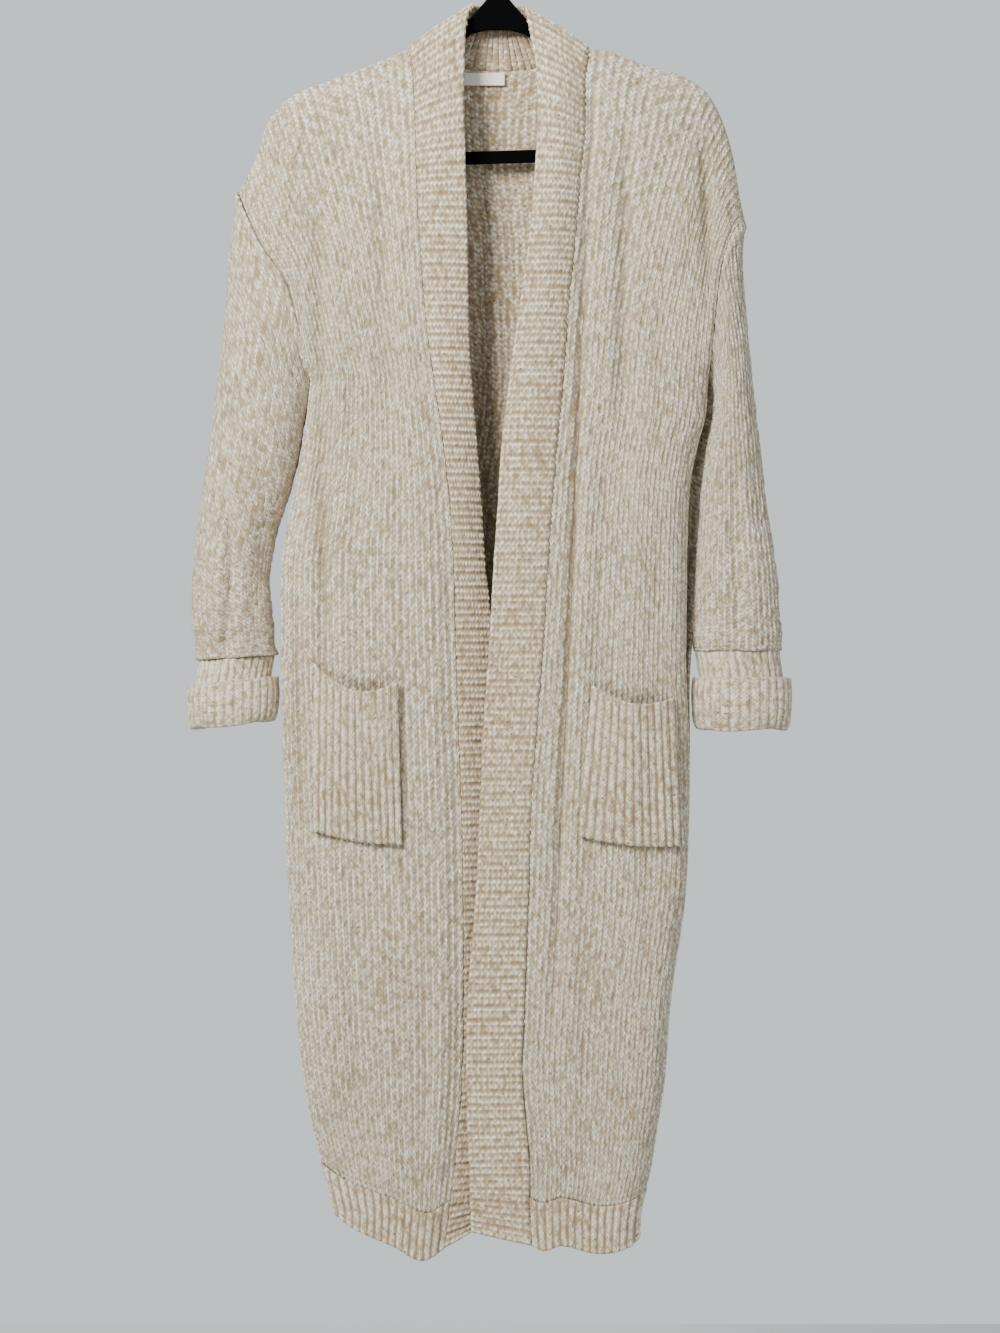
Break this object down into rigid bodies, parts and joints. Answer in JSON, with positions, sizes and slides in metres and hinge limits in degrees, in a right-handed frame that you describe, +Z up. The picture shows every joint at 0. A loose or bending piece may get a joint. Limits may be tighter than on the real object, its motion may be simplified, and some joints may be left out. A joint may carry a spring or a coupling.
{
  "type": "duster cardigan on a coat hanger",
  "caption": "Long open chunky-knit duster cardigan with a ribbed shawl band, patch pockets and turned-back cuffs, hung on a thin flocked coat hanger.",
  "frame": {"origin": "inside of the hook's bend, where a rail or a peg holds the hanger", "axes": "+Z up, the cardigan's fronts face -Y, +X is the wearer's left"},
  "size_m": [0.62, 0.0842, 1.3584],
  "materials": {
    "knit": "cream slub yarn in plain knit",
    "rib": "cream slub yarn in rib",
    "label": "bare woven satin label",
    "flock": "black velvet flock",
    "hook": "bright wire"
  },
  "bodies": {
    "root": {"front_right": "knit", "front_left": "knit", "back": "knit", "sleeve_right": "knit", "sleeve_left": "knit", "band": "rib", "cuff_right": "rib", "cuff_left": "rib", "hem_right": "rib", "hem_left": "rib", "hem_back": "rib", "pocket_right": "rib", "pocket_left": "rib", "neck_label": "label", "hanger_body": "flock", "hanger_hook": "hook"}
  },
  "joints": []
}
